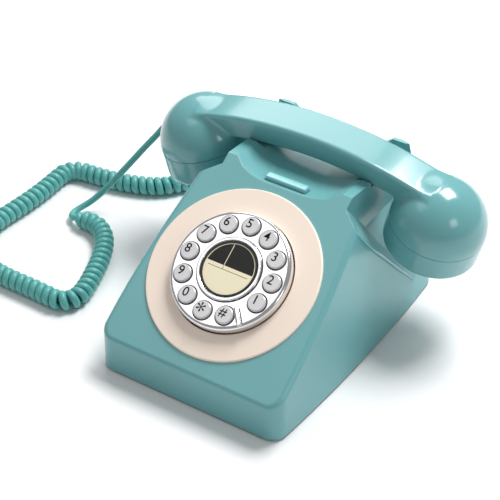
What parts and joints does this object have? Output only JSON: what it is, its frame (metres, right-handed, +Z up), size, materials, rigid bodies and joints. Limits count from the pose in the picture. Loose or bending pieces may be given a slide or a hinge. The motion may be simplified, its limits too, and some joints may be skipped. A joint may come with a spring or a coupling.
{
  "type": "desk telephone",
  "caption": "Retro desk telephone with a wedge case, push buttons in a round chromed dial plate, a handset lying across a cradle and a curly cord.",
  "frame": {"origin": "middle of the footprint of the case and handset, on the table", "axes": "+X along the handset towards the ear cap, +Z up, -Y is the dial's side"},
  "size_m": [0.3312, 0.2328, 0.1207],
  "materials": {
    "teal": "gloss",
    "cream": "gloss",
    "chrome": "polished",
    "steel": "plain",
    "brass": "polished",
    "black": "matte",
    "grey": "satin",
    "board": "matte",
    "rubber": "matte",
    "lens": "clear",
    "label": "matte",
    "clear_jack": "matte",
    "cordteal": "satin"
  },
  "bodies": {
    "base": {"case": "teal", "base_plate": "black", "rubber_feet": "rubber", "case_screws": "steel", "base_weight": "steel", "main_board": "board", "board_posts": "black", "board_components": "black", "dial_surround": "cream", "dial_plate": "chrome", "finger_stop": "chrome", "centre_bezel": "chrome", "key_mat": "rubber", "keypad_board": "board", "keypad_cup": "black", "hook_bracket": "steel", "hook_switch": "black", "gong_left": "brass", "gong_right": "brass", "ringer_frame": "steel", "gong_screws": "steel", "ringer_coil": "black", "handset_jack": "clear_jack", "line_jack": "clear_jack", "volume_switch": "black", "cord_handset_end": "cordteal", "curly_cord": "cordteal", "cord_base_end": "cordteal", "handset_plug": "clear_jack"},
    "handset": {"handset_shell": "teal", "ear_cap": "teal", "mouth_cap": "teal", "receiver": "black", "microphone": "black", "handset_weight": "steel", "cord_outlet": "cordteal"},
    "redial": {"redial_button": "black", "redial_label": "label", "redial_lens": "lens"},
    "recall": {"recall_bar": "teal"},
    "plunger_l": {"plunger_left": "teal"},
    "plunger_r": {"plunger_right": "teal"},
    "lever": {"hook_lever": "steel"},
    "striker": {"clapper": "steel"},
    "volume": {"volume_knob": "black"},
    "key_1": {"key_1": "grey"},
    "key_2": {"key_2": "grey"},
    "key_3": {"key_3": "grey"},
    "key_4": {"key_4": "grey"},
    "key_5": {"key_5": "grey"},
    "key_6": {"key_6": "grey"},
    "key_7": {"key_7": "grey"},
    "key_8": {"key_8": "grey"},
    "key_9": {"key_9": "grey"},
    "key_0": {"key_0": "grey"},
    "key_star": {"key_star": "grey"},
    "key_hash": {"key_hash": "grey"}
  },
  "joints": [
    {"name": "handset_lift", "type": "slide", "parent": "base", "child": "handset", "axis": [0, 0, 1], "range_m": [0, 0.12]},
    {"name": "press_1", "type": "slide", "parent": "base", "child": "key_1", "axis": [0, 0.5476, -0.8368], "range_m": [0, 0.0018], "stiffness_N_per_m": 400},
    {"name": "press_2", "type": "slide", "parent": "base", "child": "key_2", "axis": [0, 0.5476, -0.8368], "range_m": [0, 0.0018], "stiffness_N_per_m": 400},
    {"name": "press_3", "type": "slide", "parent": "base", "child": "key_3", "axis": [0, 0.5476, -0.8368], "range_m": [0, 0.0018], "stiffness_N_per_m": 400},
    {"name": "press_4", "type": "slide", "parent": "base", "child": "key_4", "axis": [0, 0.5476, -0.8368], "range_m": [0, 0.0018], "stiffness_N_per_m": 400},
    {"name": "press_5", "type": "slide", "parent": "base", "child": "key_5", "axis": [0, 0.5476, -0.8368], "range_m": [0, 0.0018], "stiffness_N_per_m": 400},
    {"name": "press_6", "type": "slide", "parent": "base", "child": "key_6", "axis": [0, 0.5476, -0.8368], "range_m": [0, 0.0018], "stiffness_N_per_m": 400},
    {"name": "press_7", "type": "slide", "parent": "base", "child": "key_7", "axis": [0, 0.5476, -0.8368], "range_m": [0, 0.0018], "stiffness_N_per_m": 400},
    {"name": "press_8", "type": "slide", "parent": "base", "child": "key_8", "axis": [0, 0.5476, -0.8368], "range_m": [0, 0.0018], "stiffness_N_per_m": 400},
    {"name": "press_9", "type": "slide", "parent": "base", "child": "key_9", "axis": [0, 0.5476, -0.8368], "range_m": [0, 0.0018], "stiffness_N_per_m": 400},
    {"name": "press_0", "type": "slide", "parent": "base", "child": "key_0", "axis": [0, 0.5476, -0.8368], "range_m": [0, 0.0018], "stiffness_N_per_m": 400},
    {"name": "press_star", "type": "slide", "parent": "base", "child": "key_star", "axis": [0, 0.5476, -0.8368], "range_m": [0, 0.0018], "stiffness_N_per_m": 400},
    {"name": "press_hash", "type": "slide", "parent": "base", "child": "key_hash", "axis": [0, 0.5476, -0.8368], "range_m": [0, 0.0018], "stiffness_N_per_m": 400},
    {"name": "press_redial", "type": "slide", "parent": "base", "child": "redial", "axis": [0, 0.5476, -0.8368], "range_m": [0, 0.0018], "stiffness_N_per_m": 400},
    {"name": "press_recall", "type": "slide", "parent": "base", "child": "recall", "axis": [0, 0, -1], "range_m": [0, 0.0022], "stiffness_N_per_m": 400},
    {"name": "plunger_left_rise", "type": "slide", "parent": "base", "child": "plunger_l", "axis": [0, 0, 1], "range_m": [0, 0.005]},
    {"name": "plunger_right_rise", "type": "slide", "parent": "base", "child": "plunger_r", "axis": [0, 0, 1], "range_m": [0, 0.005]},
    {"name": "lever_turn", "type": "hinge", "parent": "base", "child": "lever", "pos_m": [0, 0.0295, 0.072], "axis": [1, 0, 0], "range_deg": [0, 10]},
    {"name": "clapper_swing", "type": "hinge", "parent": "base", "child": "striker", "pos_m": [0, 0.06, 0.011], "axis": [0, 1, 0], "range_deg": [-4.5, 4.5], "stiffness_Nm_per_rad": 0.01},
    {"name": "volume_slide", "type": "slide", "parent": "base", "child": "volume", "axis": [1, 0, 0], "range_m": [0, 0.008]}
  ],
  "couplings": [
    {"joint": "plunger_left_rise", "follows": "handset_lift", "ratio": 0.041667},
    {"joint": "plunger_right_rise", "follows": "handset_lift", "ratio": 0.041667},
    {"joint": "lever_turn", "follows": "handset_lift", "rad_per_m": 1.4544}
  ]
}
